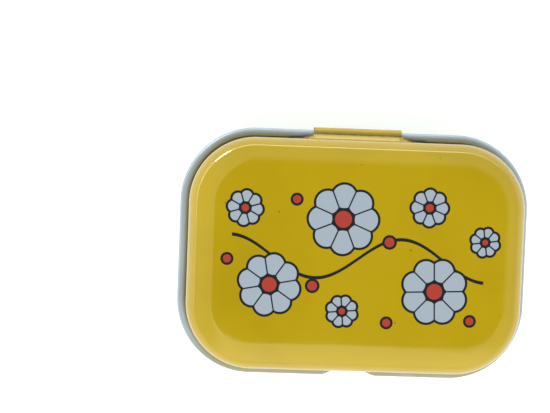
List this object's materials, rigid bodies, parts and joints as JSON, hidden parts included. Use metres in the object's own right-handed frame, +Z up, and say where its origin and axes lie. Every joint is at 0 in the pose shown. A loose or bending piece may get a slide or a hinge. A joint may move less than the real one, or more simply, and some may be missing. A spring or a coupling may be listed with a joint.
{
  "type": "hinged metal tin",
  "caption": "Rounded rectangular pressed-metal tin with a domed lid that turns on the rolled bead at the back and a finger notch at the front.",
  "frame": {"origin": "middle of the base footprint, at the level the tin stands on", "axes": "+X along the width to the right seen from the front, +Y to the back where the hinge is, +Z up through the closed lid"},
  "size_m": [0.1758, 0.1252, 0.089],
  "materials": {
    "body_enamel": "pale blue-grey gloss enamel on tinplate, bare satin tinplate inside",
    "lid_lacquer": "glossy yellow printed lacquer on tinplate, bare satin tinplate inside",
    "steel_wire": "plain drawn steel wire"
  },
  "bodies": {
    "body": {"body_shell": "body_enamel", "hinge_wire": "steel_wire"},
    "lid": {"lid_shell": "lid_lacquer"}
  },
  "joints": [
    {"name": "lid_hinge", "type": "hinge", "parent": "body", "child": "lid", "pos_m": [0, 0.0595, 0.062], "axis": [-1, 0, 0], "range_deg": [0, 110]}
  ]
}
